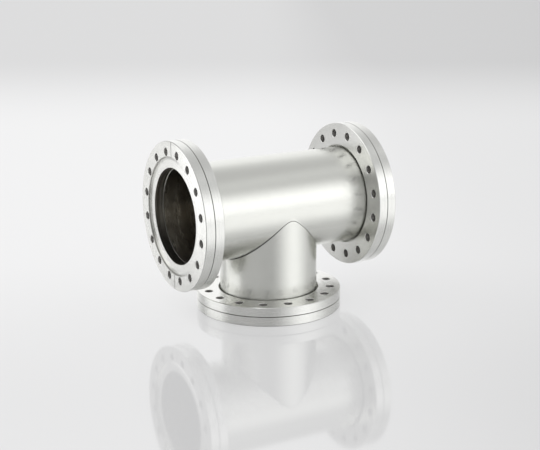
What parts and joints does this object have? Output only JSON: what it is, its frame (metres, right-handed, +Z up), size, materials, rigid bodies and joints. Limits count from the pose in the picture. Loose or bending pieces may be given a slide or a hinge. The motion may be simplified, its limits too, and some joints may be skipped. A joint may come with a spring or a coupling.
{
  "type": "vacuum flange tee",
  "caption": "Stainless vacuum tee: straight run tube and a branch of the same bore, knife-edge bolted flanges on its ports, and a rotatable flange at an end of the run.",
  "frame": {"origin": "centre of the branch flange's sealing face, which the tee stands on", "axes": "+Z up the branch axis to the run axis, X along the run with the rotatable flange at +X, Y across"},
  "size_m": [0.217, 0.152, 0.1845],
  "materials": {
    "tube_steel": "bright drawn and polished, fine marks along the tube",
    "flange_steel": "fine turned",
    "weld_metal": "as welded, lightly brushed",
    "wire_steel": "drawn spring wire"
  },
  "bodies": {
    "tee_body": {"run_tube": "tube_steel", "branch_tube": "tube_steel", "saddle_weld": "weld_metal", "left_flange": "flange_steel", "left_tube_weld": "weld_metal", "branch_flange": "flange_steel", "branch_tube_weld": "weld_metal", "right_flange_insert": "flange_steel", "right_tube_weld": "weld_metal", "right_retaining_wire": "wire_steel"},
    "bolt_ring": {"right_bolt_ring": "flange_steel"}
  },
  "joints": [
    {"name": "bolt_ring_turn", "type": "hinge", "parent": "tee_body", "child": "bolt_ring", "pos_m": [0.0988, 0, 0.1085], "axis": [1, 0, 0], "continuous": true}
  ]
}
